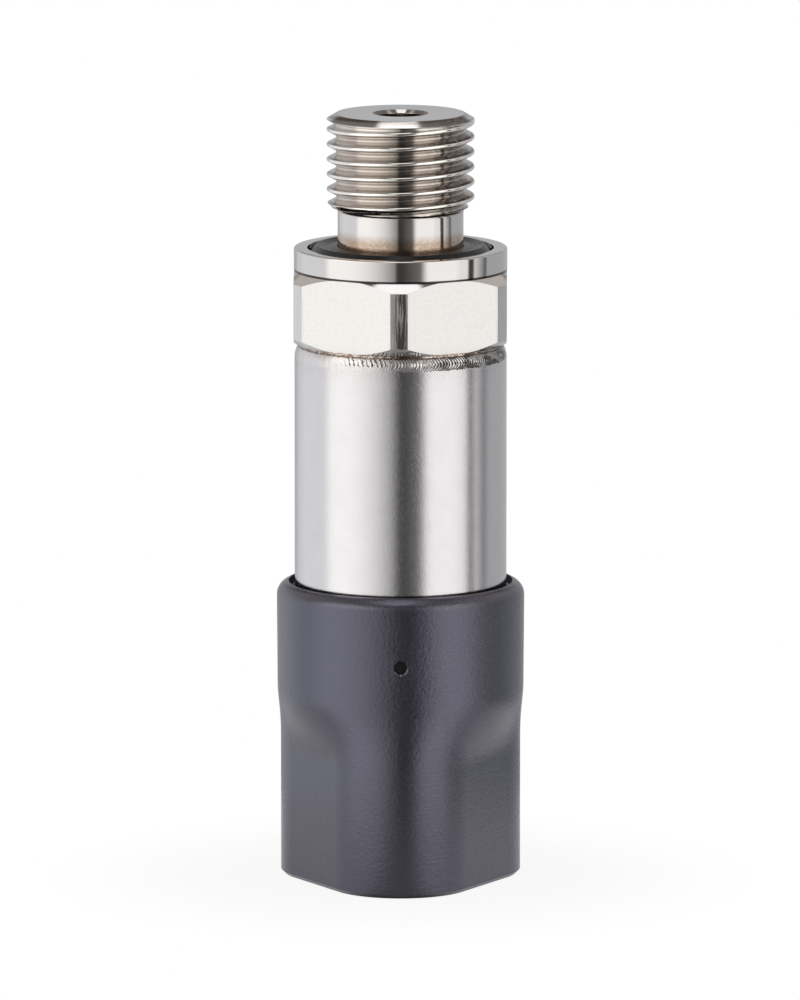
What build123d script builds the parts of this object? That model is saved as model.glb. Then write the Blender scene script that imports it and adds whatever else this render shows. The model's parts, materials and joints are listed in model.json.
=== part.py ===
from build123d import *
from math import atan2, degrees, sqrt, tan
import os

# Pressure transmitter, in millimetres. The open end of the housing lies on z = 0, the thread points up,
# and the front, where one corner of the hexagon and one of the housing stand, is towards -Y.

# Process thread and its neck
thread_diameter = 13.157
thread_height = 7.9
thread_chamfer_width = 0.85
thread_chamfer_height = 0.5
runout_height = 1.3
runout_bevel = 0.5
neck_height = 2.8
neck_undercut = 0.98

# Pressure port and the bore behind it
port_diameter = 4.4
port_depth = 6.0
port_chamfer = 0.3
bore_diameter = 2.5

# Collar, with the groove for the profile ring
collar_diameter = 19.0
collar_height = 1.95
collar_bevel = 0.15
seal_groove_diameter = 16.6
seal_groove_depth = 1.5

# Hexagon, with its corners turned down to a circle
hexagon_across_flats = 18.9
hexagon_corner_diameter = 21.0
hexagon_height = 6.55
hexagon_chamfer_height = 0.8

# Weld between the fitting and the case tube
weld_groove_step = 0.35
weld_groove_height = 0.2
seam_height = 1.1
seam_bulge = 0.07
root_land = 0.1

# Spigot of the fitting inside the case, and the stub that carries the sensor
spigot_depth = 3.0
spigot_bevel = 0.3
recess_wall = 1.5
recess_depth = 2.2
stub_diameter = 9.2
stub_height = 1.4

# Profile ring in the collar
ring_lip_diameter = 15.0
ring_lip_height = 0.25
ring_valley_depth = 0.15
ring_shoulder_drop = 0.5

# Pressure sensor and its ring board
cell_diameter = 7.6
cell_height = 3.3
cell_flange_height = 0.8
cell_pocket_diameter = 5.6
cell_pocket_bevel = 0.4
diaphragm_thickness = 0.35
gauge_diameter = 4.8
gauge_thickness = 0.06
sensor_board_thickness = 0.8
sensor_board_gap = 0.4
bond_wire_width = 0.25
bond_wire_thickness = 0.08
bond_wire_count = 4
bond_wire_sag = 0.65
bond_pad_inset = 0.5
bond_pad_offset = 1.1

# Case tube with its two rolled grooves and its vent
tube_diameter = 18.9
tube_wall = 0.6
bare_tube_height = 20.22
seal_roll_depth = 0.75
seal_roll_floor = 1.15
snap_roll_depth = 0.45
snap_roll_floor = 0.55
roll_slope = 0.55
tube_vent_diameter = 1.6

# Contact carrier
carrier_boss_diameter = 10.6
carrier_boss_stand = 0.6
carrier_flange_height = 1.4
carrier_spigot_height = 2.6
carrier_cup_wall = 1.2
carrier_cup_floor = 0.5
carrier_groove_width = 1.1
carrier_groove_depth = 0.75
carrier_groove_rise = 0.75

# Contacts
pin_count = 3
pin_diameter = 1.5
pin_shank_diameter = 1.9
pin_circle_diameter = 7.0
pin_stand = 7.6
pin_tip_diameter = 0.7
pin_tip_length = 0.6
pin_solder_length = 0.6

# Seals and potting
seal_width = 0.95
seal_flat_width = 0.5
potting_depth = 0.7

# Housing, round above and three-sided below
housing_wall = 1.5
housing_draft = 0.06
rim_height = 1.25
mouth_gap = 0.45
mouth_depth = 1.2
flat_apothem = 9.0
corner_radius = 6.65
blend_rise = 2.0
blend_height = 6.2
blend_steps = 6
socket_wall = 1.6
socket_depth = 13.4
partition_thickness = 2.2
end_bevel = 0.35
socket_lead_in = 0.3
key_width = 1.6
key_height = 0.8
key_setback = 1.5
snap_crest = 0.3
snap_base = 1.0
snap_rise = 0.45
vent_diameter = 1.1
vent_countersink = 1.5
membrane_diameter = 2.6
membrane_thickness = 0.2
membrane_skin = 0.6
dimple_height = 8.4
dimple_diameter = 0.9
dimple_depth = 0.28

# Steps up the inside of the housing: carrier, vent, snap ridge, seal, rim
vent_rise = 1.1
snap_pitch = 1.9
seal_pitch = 2.4
rim_above_seal = 1.88

# Boards and what joins them
connector_board_thickness = 0.9
main_board_thickness = 1.0
board_edge_gap = 0.45
board_top_gap = 2.0
board_corner = 1.0
tab_width = 2.0
tab_spacing = 9.0
sleeve_wall = 0.5
guide_depth = 1.2
guide_thickness = 0.6
guide_stop = 4.0
window_width = 3.0
window_height = 3.4
flex_width = 3.0
flex_thickness = 0.15
flex_pad_length = 2.0
flex_contact_length = 2.4
flex_drop = 2.2
flex_edge_gap = 0.12
flex_bend = 0.5
spring_width = 1.8
spring_thickness = 0.2
spring_foot_length = 1.8
spring_step = 1.2
spring_reach_height = 2.2
spring_end_height = 2.8
spring_end_inset = 0.65
spring_bend = 0.25

# Parts on the boards
chip_length = 5.0
chip_width = 4.4
chip_thickness = 1.1
chip_standoff = 0.1
chip_rise = 13.4
chip_leg_count = 8
chip_leg_pitch = 0.6
chip_leg_width = 0.25
chip_leg_thickness = 0.15
chip_leg_reach = 0.9
regulator_length = 4.5
regulator_width = 2.5
regulator_thickness = 1.5
regulator_rise = 6.6
regulator_leg_count = 3
regulator_leg_pitch = 1.5
regulator_leg_width = 0.45
regulator_leg_length = 1.0
regulator_leg_thickness = 0.4
capacitor_length = 2.0
capacitor_width = 1.25
capacitor_thickness = 0.9
capacitor_cap_length = 0.4
capacitor_cap_skin = 0.04
filter_capacitor_count = 3
filter_capacitor_pitch = 3.6
filter_capacitor_rise = 2.6
emc_capacitor_circle = 10.0
emc_capacitor_headings = (-45, -135, 117)
diode_length = 4.3
diode_width = 2.6
diode_thickness = 2.1
diode_taper = 6
diode_count = 2
diode_pitch = 6.0
diode_rise = 5.4
diode_leg_width = 1.4
diode_leg_height = 1.0
diode_leg_length = 0.4

# Fits: between pieces that slide together, and between pieces pressed or moulded together
slide_gap = 0.1
snug_gap = 0.02

# Levels up the housing
partition_top = socket_depth + partition_thickness
boss_face = socket_depth - carrier_boss_stand
carrier_flange_top = partition_top + carrier_flange_height
carrier_top = carrier_flange_top + carrier_spigot_height
cup_floor = carrier_flange_top + carrier_cup_floor
connector_board_bottom = cup_floor + potting_depth
connector_board_top = connector_board_bottom + connector_board_thickness
carrier_groove_bottom = carrier_flange_top + carrier_groove_rise
pin_tip = boss_face - pin_stand
pin_end = connector_board_top + pin_solder_length
vent_level = carrier_top + vent_rise
snap_level = vent_level + snap_pitch
seal_level = snap_level + seal_pitch
housing_height = seal_level + rim_above_seal
blend_top = partition_top + blend_rise
blend_bottom = blend_top - blend_height

# Levels up the fitting
seam_bottom = housing_height + bare_tube_height
joint_level = seam_bottom + seam_height / 2
seam_top = seam_bottom + seam_height
hexagon_bottom = seam_top + weld_groove_height
hexagon_top = hexagon_bottom + hexagon_height
collar_top = hexagon_top + collar_height
seal_floor = collar_top - seal_groove_depth
runout_bottom = collar_top + neck_height
thread_bottom = runout_bottom + runout_height
thread_top = thread_bottom + thread_height

# Levels of the sensor and the boards
spigot_end = joint_level - spigot_depth
recess_floor = spigot_end + recess_depth
stub_end = recess_floor - stub_height
cell_end = stub_end - cell_height
cell_shelf = stub_end - cell_flange_height
gauge_face = cell_end - gauge_thickness
sensor_board_face = cell_shelf - sensor_board_thickness
main_board_top = cell_end - board_top_gap

# Radii that follow from the diameters and fits
thread_radius = thread_diameter / 2
neck_radius = thread_radius - neck_undercut
port_radius = port_diameter / 2
bore_radius = bore_diameter / 2
collar_radius = collar_diameter / 2
corner_turned_radius = hexagon_corner_diameter / 2
hexagon_apothem = hexagon_across_flats / 2
seal_groove_radius = seal_groove_diameter / 2
stub_radius = stub_diameter / 2
cell_radius = cell_diameter / 2
tube_radius = tube_diameter / 2
tube_bore_radius = tube_radius - tube_wall
weld_groove_radius = tube_radius - weld_groove_step
root_radius = tube_bore_radius + root_land
spigot_radius = tube_bore_radius - slide_gap / 2
recess_radius = spigot_radius - recess_wall
housing_bore_radius = tube_radius + slide_gap
housing_radius = housing_bore_radius + housing_wall
blend_radius = housing_radius - housing_draft
mouth_radius = housing_bore_radius + mouth_gap
sleeve_outer_radius = tube_radius - seal_roll_depth - tube_wall - slide_gap
sleeve_inner_radius = sleeve_outer_radius - sleeve_wall
boss_radius = carrier_boss_diameter / 2
carrier_groove_radius = spigot_radius - carrier_groove_depth
cup_radius = carrier_groove_radius - carrier_cup_wall
pin_radius = pin_diameter / 2
pin_shank_radius = pin_shank_diameter / 2
pin_circle_radius = pin_circle_diameter / 2
main_board_half_width = sleeve_inner_radius - board_edge_gap
front = -90

os.makedirs("parts", exist_ok=True)


def half_section(*points):
    """Closed half section, from (radius, height) points, on the plane through the axis."""
    with BuildSketch(Plane.XZ) as half:
        with BuildLine():
            Polyline(*points, close=True)
        make_face()
    return half.sketch


def front_spot(diameter, level, distance=0):
    """Disc that faces the front, at a level and a distance in front of the axis."""
    with BuildSketch(Plane.XZ.offset(distance)) as spot:
        with Locations((0, level)):
            Circle(diameter / 2)
    return spot.sketch


def corner_centre(apothem, radius, heading):
    """Centre of the corner arc that stands in one direction."""
    return Vector(2 * (apothem - radius), 0).rotate(Axis.Z, heading)


def three_sided_outline(apothem, radius, level):
    """Rounded triangle at a level, with one corner towards the front."""
    with BuildSketch(Plane.XY.offset(level)) as outline:
        with BuildLine():
            for heading in (front, front + 120, front + 240):
                arc = CenterArc(corner_centre(apothem, radius, heading), radius, heading - 60, 120)
                next_start = corner_centre(apothem, radius, heading + 120)
                Line(arc @ 1, next_start + Vector(radius, 0).rotate(Axis.Z, heading + 60))
        make_face()
    return outline.sketch


def blend_outline(share, level):
    """Outline on its way from the three flats, at share 0, to the round upper housing, at share 1."""
    arc_end = corner_centre(flat_apothem, corner_radius, 0) + Vector(corner_radius, 0).rotate(Axis.Z, 60)
    span = degrees(atan2(arc_end.Y, arc_end.X))
    corner_reach = 2 * flat_apothem - corner_radius

    def moved(radius, heading):
        return Vector(radius + (blend_radius - radius) * share, 0).rotate(Axis.Z, heading)

    with BuildSketch(Plane.XY.offset(level)) as outline:
        with BuildLine():
            for heading in (front, front + 120, front + 240):
                corner_start = moved(arc_end.length, heading - span)
                corner_end = moved(arc_end.length, heading + span)
                next_start = moved(arc_end.length, heading + 120 - span)
                ThreePointArc(corner_start, moved(corner_reach, heading), corner_end)
                if share > 0:
                    ThreePointArc(corner_end, moved(flat_apothem, heading + 60), next_start)
                else:
                    Line(corner_end, next_start)
        make_face()
    return outline.sketch


def squeezed_ring(inner_radius, outer_radius, level):
    """Rubber ring squeezed flat between two round walls, with an edge above and below."""
    ridge_radius = (inner_radius + outer_radius) / 2
    with BuildPart() as ring:
        revolve(
            half_section(
                (ridge_radius, level - seal_width / 2),
                (outer_radius - snug_gap, level - seal_flat_width / 2),
                (outer_radius - snug_gap, level + seal_flat_width / 2),
                (ridge_radius, level + seal_width / 2),
                (inner_radius + snug_gap, level + seal_flat_width / 2),
                (inner_radius + snug_gap, level - seal_flat_width / 2),
            ),
            axis=Axis.Z,
        )
    return ring.part


def rolled_groove(radius, level, depth, floor):
    """Corners of one rolled groove in a surface of the tube, from below."""
    mouth = floor / 2 + depth * roll_slope
    return [
        (radius, level - mouth),
        (radius - depth, level - floor / 2),
        (radius - depth, level + floor / 2),
        (radius, level + mouth),
    ]


def chip_capacitor(seat):
    """Ceramic chip capacitor between its two metal caps, seated on a plane."""
    low = (Align.CENTER, Align.CENTER, Align.MIN)
    skin = 2 * capacitor_cap_skin
    with BuildPart(seat) as block:
        with Locations((0, 0, capacitor_cap_skin)):
            Box(capacitor_length, capacitor_width, capacitor_thickness, align=low)
        with GridLocations(capacitor_length - capacitor_cap_length, 0, 2, 1):
            Box(capacitor_cap_length, capacitor_width + skin, capacitor_thickness + skin, align=low)
    return block.part


# Process connection: thread, neck, collar, hexagon, weld shoulder, spigot and sensor stub in one piece
runout_top = thread_bottom - runout_bevel
neck_flare = thread_radius - runout_bevel - neck_radius
with BuildPart() as process_connection:
    revolve(
        half_section(
            (neck_radius, runout_top - neck_flare),
            (thread_radius - runout_bevel, runout_top),
            (thread_radius, thread_bottom),
            (thread_radius, thread_top - thread_chamfer_height),
            (thread_radius - thread_chamfer_width, thread_top),
            (port_radius + port_chamfer, thread_top),
            (port_radius, thread_top - port_chamfer),
            (port_radius, thread_top - port_depth),
            (bore_radius, thread_top - port_depth - (port_radius - bore_radius)),
            (bore_radius, stub_end),
            (stub_radius, stub_end),
            (stub_radius, recess_floor),
            (recess_radius, recess_floor),
            (recess_radius, spigot_end),
            (spigot_radius - spigot_bevel, spigot_end),
            (spigot_radius, spigot_end + spigot_bevel),
            (spigot_radius, joint_level),
            (root_radius, joint_level),
            (weld_groove_radius, seam_top),
            (weld_groove_radius, hexagon_bottom),
            (hexagon_apothem, hexagon_bottom),
            (corner_turned_radius, hexagon_bottom + hexagon_chamfer_height),
            (corner_turned_radius, hexagon_top - hexagon_chamfer_height),
            (collar_radius, hexagon_top),
            (collar_radius, collar_top - collar_bevel),
            (collar_radius - collar_bevel, collar_top),
            (seal_groove_radius, collar_top),
            (seal_groove_radius, seal_floor),
            (neck_radius, seal_floor),
        ),
        axis=Axis.Z,
    )
    with BuildSketch(Plane.XY.offset(hexagon_bottom)):
        Circle(hexagon_corner_diameter)
        RegularPolygon(hexagon_apothem, 6, major_radius=False, rotation=30, mode=Mode.SUBTRACT)
    extrude(amount=hexagon_height, mode=Mode.SUBTRACT)
process_connection.part.label = "process_connection"
export_step(process_connection.part, "parts/process_connection.step")

# Profile ring: grips the neck, fills the collar's groove and stands a lip above it
ring_inner_radius = neck_radius + snug_gap
ring_outer_radius = seal_groove_radius - 2 * slide_gap
ring_top = collar_top + ring_lip_height
with BuildPart() as profile_seal:
    revolve(
        half_section(
            (ring_inner_radius, seal_floor),
            (ring_outer_radius, seal_floor),
            (ring_outer_radius, collar_top - ring_shoulder_drop),
            (ring_lip_diameter / 2, ring_top),
            ((ring_lip_diameter / 2 + ring_inner_radius) / 2, ring_top - ring_valley_depth),
            (ring_inner_radius, ring_top),
        ),
        axis=Axis.Z,
    )
profile_seal.part.label = "profile_seal"
export_step(profile_seal.part, "parts/profile_seal.step")

# Weld seam: fills the groove between the fitting's shoulder and the bevelled end of the tube
with BuildPart() as weld_seam:
    revolve(
        half_section(
            (tube_radius, seam_bottom),
            ((tube_radius + weld_groove_radius) / 2 + seam_bulge, joint_level),
            (weld_groove_radius, seam_top),
            (root_radius, joint_level),
        ),
        axis=Axis.Z,
    )
weld_seam.part.label = "weld_seam"
export_step(weld_seam.part, "parts/weld_seam.step")

# Pressure sensor: cup whose end is the diaphragm, open to the bore
pocket_floor = cell_end + diaphragm_thickness
pocket_radius = cell_pocket_diameter / 2
with BuildPart() as sensor_cell:
    revolve(
        half_section(
            (0, cell_end),
            (cell_radius, cell_end),
            (cell_radius, cell_shelf),
            (stub_radius, cell_shelf),
            (stub_radius, stub_end),
            (pocket_radius, stub_end),
            (pocket_radius, pocket_floor + cell_pocket_bevel),
            (pocket_radius - cell_pocket_bevel, pocket_floor),
            (0, pocket_floor),
        ),
        axis=Axis.Z,
    )
sensor_cell.part.label = "sensor_cell"
export_step(sensor_cell.part, "parts/sensor_cell.step")

# Strain gauge film on the diaphragm
with BuildPart() as strain_gauge:
    with BuildSketch(Plane.XY.offset(gauge_face)):
        Circle(gauge_diameter / 2)
    extrude(amount=gauge_thickness)
strain_gauge.part.label = "strain_gauge"
export_step(strain_gauge.part, "parts/strain_gauge.step")

# Ring board round the cell, against its flange
with BuildPart() as sensor_board:
    with BuildSketch(Plane.XY.offset(sensor_board_face)):
        Circle(recess_radius - sensor_board_gap)
        Circle(cell_radius + slide_gap, mode=Mode.SUBTRACT)
    extrude(amount=sensor_board_thickness)
sensor_board.part.label = "sensor_board"
export_step(sensor_board.part, "parts/sensor_board.step")

# Bond wires: flat wires from the gauge's pads out to the ring board
wire_start = gauge_diameter / 2 - bond_pad_inset
wire_end = cell_radius + bond_pad_offset
with BuildPart() as bond_wires:
    for turn in range(bond_wire_count):
        heading = 360 * (turn + 0.5) / bond_wire_count
        outward = Vector(1, 0).rotate(Axis.Z, heading)
        upright = Plane(origin=(0, 0, 0), x_dir=outward, z_dir=outward.rotate(Axis.Z, -90))
        with BuildLine(upright) as run:
            Polyline(
                (wire_start, gauge_face),
                (wire_start, gauge_face - bond_wire_sag),
                (wire_end, gauge_face - bond_wire_sag),
                (wire_end, sensor_board_face),
            )
        with BuildSketch(Plane(origin=run.line @ 0, x_dir=upright.z_dir, z_dir=run.line % 0)):
            Rectangle(bond_wire_width, bond_wire_thickness)
        sweep(transition=Transition.RIGHT)
bond_wires.part.label = "bond_wires"
export_step(bond_wires.part, "parts/bond_wires.step")


# Case tube: one wall with two rolled grooves, bevelled for the weld and pierced for the vent
roll_spread = 2 * tube_wall * tan(atan2(1, roll_slope) / 2)
with BuildPart() as case_tube:
    revolve(
        half_section(
            (tube_radius, carrier_flange_top),
            *rolled_groove(tube_radius, snap_level, snap_roll_depth, snap_roll_floor),
            *rolled_groove(tube_radius, seal_level, seal_roll_depth, seal_roll_floor),
            (tube_radius, seam_bottom),
            (root_radius, joint_level),
            (tube_bore_radius, joint_level),
            *reversed(
                rolled_groove(tube_bore_radius, seal_level, seal_roll_depth, seal_roll_floor + roll_spread)
            ),
            *reversed(
                rolled_groove(tube_bore_radius, snap_level, snap_roll_depth, snap_roll_floor + roll_spread)
            ),
            (tube_bore_radius, carrier_flange_top),
        ),
        axis=Axis.Z,
    )
    extrude(front_spot(tube_vent_diameter, vent_level), amount=tube_diameter, mode=Mode.SUBTRACT)
case_tube.part.label = "case_tube"
export_step(case_tube.part, "parts/case_tube.step")

# Housing: turned-looking upper part, blend to three flats, socket below, bore for the tube above
with BuildPart() as connector_housing:
    extrude(three_sided_outline(flat_apothem, corner_radius, 0), amount=blend_bottom)
    chamfer(connector_housing.edges().group_by(Axis.Z)[0], end_bevel)
    for step in range(blend_steps + 1):
        share = step / blend_steps
        eased = share**2 * (3 - 2 * share)
        add(blend_outline(eased, blend_bottom + blend_height * share))
    loft()
    with BuildSketch(Plane.XZ):
        with BuildLine():
            Polyline(
                (mouth_radius, housing_height),
                (0, housing_height),
                (0, blend_top),
                (blend_radius, blend_top),
                (housing_radius, housing_height - rim_height),
            )
            TangentArc(
                (housing_radius, housing_height - rim_height),
                (mouth_radius, housing_height),
                tangent=(0, 1),
            )
        make_face()
    revolve(axis=Axis.Z)
    revolve(
        half_section(
            (0, partition_top),
            (housing_bore_radius, partition_top),
            (housing_bore_radius, snap_level - snap_base / 2),
            (housing_bore_radius - snap_rise, snap_level - snap_crest / 2),
            (housing_bore_radius - snap_rise, snap_level + snap_crest / 2),
            (housing_bore_radius, snap_level + snap_base / 2),
            (housing_bore_radius, housing_height - mouth_depth),
            (mouth_radius, housing_height - mouth_depth + mouth_radius - housing_bore_radius),
            (mouth_radius, housing_height),
            (0, housing_height),
        ),
        axis=Axis.Z,
        mode=Mode.SUBTRACT,
    )
    inner_apothem = flat_apothem - socket_wall
    inner_corner = corner_radius - socket_wall
    extrude(
        three_sided_outline(inner_apothem, inner_corner, 0), amount=socket_depth, mode=Mode.SUBTRACT
    )
    extrude(
        three_sided_outline(inner_apothem + socket_lead_in, inner_corner + socket_lead_in, 0),
        amount=socket_lead_in,
        taper=45,
        mode=Mode.SUBTRACT,
    )
    with BuildSketch(Plane.XY.offset(socket_depth)):
        Circle(boss_radius + slide_gap / 2)
    extrude(amount=partition_thickness, mode=Mode.SUBTRACT)
    with BuildSketch(Plane.XY.offset(key_setback)):
        with Locations((0, inner_apothem)):
            Rectangle(key_width, 2 * key_height)
    extrude(amount=socket_depth - key_setback)
    extrude(front_spot(vent_diameter, vent_level), amount=2 * housing_radius, mode=Mode.SUBTRACT)
    pocket_depth = blend_radius - membrane_skin
    extrude(
        front_spot(membrane_diameter + slide_gap, vent_level), amount=pocket_depth, mode=Mode.SUBTRACT
    )
    extrude(
        front_spot(vent_countersink, vent_level, housing_radius),
        amount=-(vent_countersink - vent_diameter) / 2 - housing_draft,
        taper=45,
        mode=Mode.SUBTRACT,
    )
    dimple_centre = corner_centre(flat_apothem, corner_radius, front + 240) - Vector(corner_radius, 0)
    with Locations(Plane(dimple_centre + Vector(0, 0, dimple_height), z_dir=(-1, 0, 0))):
        Cone(
            0,
            dimple_diameter / 2,
            dimple_depth,
            align=(Align.CENTER, Align.CENTER, Align.MAX),
            mode=Mode.SUBTRACT,
        )
connector_housing.part.label = "connector_housing"
export_step(connector_housing.part, "parts/connector_housing.step")

# Vent membrane behind the housing's vent
with BuildPart() as vent_membrane:
    extrude(front_spot(membrane_diameter, vent_level, pocket_depth), amount=-membrane_thickness)
vent_membrane.part.label = "vent_membrane"
export_step(vent_membrane.part, "parts/vent_membrane.step")

# Contact carrier: boss in the socket's floor, flange under the tube, cup with a seal groove inside it
with BuildPart() as contact_carrier:
    revolve(
        half_section(
            (0, boss_face),
            (boss_radius, boss_face),
            (boss_radius, partition_top),
            (tube_radius, partition_top),
            (tube_radius, carrier_flange_top),
            (spigot_radius, carrier_flange_top),
            (spigot_radius, carrier_groove_bottom),
            (carrier_groove_radius, carrier_groove_bottom),
            (carrier_groove_radius, carrier_groove_bottom + carrier_groove_width),
            (spigot_radius, carrier_groove_bottom + carrier_groove_width),
            (spigot_radius, carrier_top),
            (cup_radius, carrier_top),
            (cup_radius, cup_floor),
            (0, cup_floor),
        ),
        axis=Axis.Z,
    )
    with BuildSketch(Plane.XY.offset(boss_face)):
        with PolarLocations(pin_circle_radius, pin_count, start_angle=front):
            Circle(pin_shank_radius + snug_gap)
    extrude(amount=cup_floor - boss_face, mode=Mode.SUBTRACT)
contact_carrier.part.label = "contact_carrier"
export_step(contact_carrier.part, "parts/contact_carrier.step")

# Contacts, one in each corner of the socket
pin_outline = half_section(
    (0, pin_tip),
    (pin_tip_diameter / 2, pin_tip),
    (pin_radius, pin_tip + pin_tip_length),
    (pin_radius, boss_face),
    (pin_shank_radius, boss_face),
    (pin_shank_radius, pin_end),
    (0, pin_end),
)
for number, place in enumerate(PolarLocations(pin_circle_radius, pin_count, start_angle=front), start=1):
    with BuildPart() as contact_pin:
        with Locations(place):
            add(revolve(pin_outline, axis=Axis.Z, mode=Mode.PRIVATE))
    contact_pin.part.label = f"contact_pin_{number}"
    export_step(contact_pin.part, f"parts/contact_pin_{number}.step")

# Potting in the carrier's cup, round the contacts
with BuildPart() as potting:
    with BuildSketch(Plane.XY.offset(cup_floor)):
        Circle(cup_radius)
        with PolarLocations(pin_circle_radius, pin_count, start_angle=front):
            Circle(pin_shank_radius + snug_gap, mode=Mode.SUBTRACT)
    extrude(amount=potting_depth)
potting.part.label = "potting"
export_step(potting.part, "parts/potting.step")

# Ring between the carrier and the inside of the tube
with BuildPart() as case_seal:
    add(
        squeezed_ring(
            carrier_groove_radius, tube_bore_radius, carrier_groove_bottom + carrier_groove_width / 2
        )
    )
case_seal.part.label = "case_seal"
export_step(case_seal.part, "parts/case_seal.step")

# Ring between the tube's upper rolled groove and the housing
with BuildPart() as housing_seal:
    add(squeezed_ring(tube_radius - seal_roll_depth, housing_bore_radius, seal_level))
housing_seal.part.label = "housing_seal"
export_step(housing_seal.part, "parts/housing_seal.step")

# Connector board: holes for the contacts and slots for the main board's tabs
with BuildPart() as connector_board:
    with BuildSketch(Plane.XY.offset(connector_board_bottom)):
        Circle(cup_radius - slide_gap)
        with PolarLocations(pin_circle_radius, pin_count, start_angle=front):
            Circle(pin_shank_radius + slide_gap / 2, mode=Mode.SUBTRACT)
        with GridLocations(tab_spacing, 0, 2, 1):
            Rectangle(tab_width + slide_gap, main_board_thickness + slide_gap, mode=Mode.SUBTRACT)
    extrude(amount=connector_board_thickness)
connector_board.part.label = "connector_board"
export_step(connector_board.part, "parts/connector_board.step")

# Main board: upright on the connector board, narrow inside the cup, with two tabs through the slots
main_board_height = main_board_top - connector_board_top
foot_height = carrier_top + slide_gap - connector_board_top
low_middle = (Align.CENTER, Align.MIN)
with BuildPart() as main_board:
    with BuildSketch(Plane.XZ) as board_face:
        with Locations((0, connector_board_top + foot_height)):
            Rectangle(2 * main_board_half_width, main_board_height - foot_height, align=low_middle)
        chamfer(board_face.vertices().group_by(Axis.Y)[-1], board_corner)
        with Locations((0, connector_board_top)):
            Rectangle(2 * (cup_radius - board_edge_gap), foot_height, align=low_middle)
        with Locations((0, connector_board_bottom)):
            with GridLocations(tab_spacing, 0, 2, 1):
                Rectangle(tab_width, connector_board_thickness, align=low_middle)
    extrude(amount=main_board_thickness / 2, both=True)
main_board.part.label = "main_board"
export_step(main_board.part, "parts/main_board.step")

# Insulating sleeve: stands on the carrier, guides the main board's edges, opens to the spring and vent
sleeve_top = spigot_end - slide_gap
guide_height = main_board_top - guide_stop - carrier_top
guide_offset = (main_board_thickness + slide_gap + guide_thickness) / 2
with BuildPart() as insulating_sleeve:
    with BuildSketch(Plane.XY.offset(carrier_top)):
        Circle(sleeve_outer_radius)
        Circle(sleeve_inner_radius, mode=Mode.SUBTRACT)
    extrude(amount=sleeve_top - carrier_top)
    with BuildSketch(Plane.XY.offset(carrier_top)):
        for side in (-1, 1):
            with Locations((side * (sleeve_inner_radius + (sleeve_wall - guide_depth) / 2), 0)):
                with GridLocations(0, 2 * guide_offset, 1, 2):
                    Rectangle(guide_depth, guide_thickness)
    extrude(amount=guide_height)
    with BuildSketch(Plane.XZ):
        with Locations((0, carrier_top)):
            Rectangle(window_width, window_height, align=low_middle)
    extrude(amount=-sleeve_outer_radius, mode=Mode.SUBTRACT)
    extrude(front_spot(tube_vent_diameter, vent_level), amount=sleeve_outer_radius, mode=Mode.SUBTRACT)
insulating_sleeve.part.label = "insulating_sleeve"
export_step(insulating_sleeve.part, "parts/insulating_sleeve.step")

# Flexible lead: from a pad on the ring board down to the back of the main board
flex_middle = flex_thickness / 2
flex_face = sensor_board_face - flex_middle
flex_fold = recess_radius - sensor_board_gap - flex_edge_gap
board_back = main_board_thickness / 2 + flex_middle
flex_landing = main_board_top - flex_edge_gap
with BuildPart() as flex_lead:
    with BuildSketch(Plane.YZ):
        with BuildLine():
            FilletPolyline(
                (flex_fold - flex_pad_length, flex_face),
                (flex_fold, flex_face),
                (flex_fold, flex_face - flex_drop),
                (board_back, flex_landing - flex_drop),
                (board_back, flex_landing - flex_drop - flex_contact_length),
                radius=flex_bend,
            )
        trace(line_width=flex_thickness)
    extrude(amount=flex_width / 2, both=True)
flex_lead.part.label = "flex_lead"
export_step(flex_lead.part, "parts/flex_lead.step")

# Ground spring: foot on the connector board, leaf out through the sleeve's window to the tube
spring_middle = spring_thickness / 2
spring_foot_end = cup_radius - slide_gap - spring_bend
spring_reach = sqrt(tube_bore_radius**2 - (spring_width / 2) ** 2) - spring_middle - snug_gap
with BuildPart() as ground_spring:
    with BuildSketch(Plane.YZ):
        with BuildLine():
            FilletPolyline(
                (spring_foot_end - spring_foot_length, connector_board_top + spring_middle),
                (spring_foot_end, connector_board_top + spring_middle),
                (spring_foot_end, connector_board_top + spring_step),
                (spring_reach, connector_board_top + spring_reach_height),
                (spring_reach - spring_end_inset, connector_board_top + spring_end_height),
                radius=spring_bend,
            )
        trace(line_width=spring_thickness)
    extrude(amount=spring_width / 2, both=True)
ground_spring.part.label = "ground_spring"
export_step(ground_spring.part, "parts/ground_spring.step")

# Signal chip on the front of the main board, with a row of bent legs along each side
board_front = -main_board_thickness / 2
chip_level = connector_board_top + chip_rise
chip_back = board_front - chip_standoff
leg_middle = chip_leg_thickness / 2
leg_height = chip_back - chip_thickness / 2
leg_foot = chip_width / 2 + chip_leg_reach
leg_foot_start = (chip_width / 2 + leg_foot) / 2
with BuildPart() as signal_chip:
    with BuildSketch(Plane.XZ.offset(-chip_back)):
        with Locations((0, chip_level)):
            Rectangle(chip_width, chip_length)
    extrude(amount=chip_thickness)
    first_leg = chip_level - (chip_leg_count - 1) / 2 * chip_leg_pitch - chip_leg_width / 2
    for leg in range(chip_leg_count):
        with BuildSketch(Plane.XY.offset(first_leg + leg * chip_leg_pitch)) as legs:
            with BuildLine():
                Polyline(
                    (0, leg_height),
                    (leg_foot_start - chip_leg_thickness, leg_height),
                    (leg_foot_start, board_front - leg_middle),
                    (leg_foot, board_front - leg_middle),
                )
            trace(line_width=chip_leg_thickness)
            mirror(about=Plane.YZ)
        extrude(amount=chip_leg_width)
signal_chip.part.label = "signal_chip"
export_step(signal_chip.part, "parts/signal_chip.step")

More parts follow.
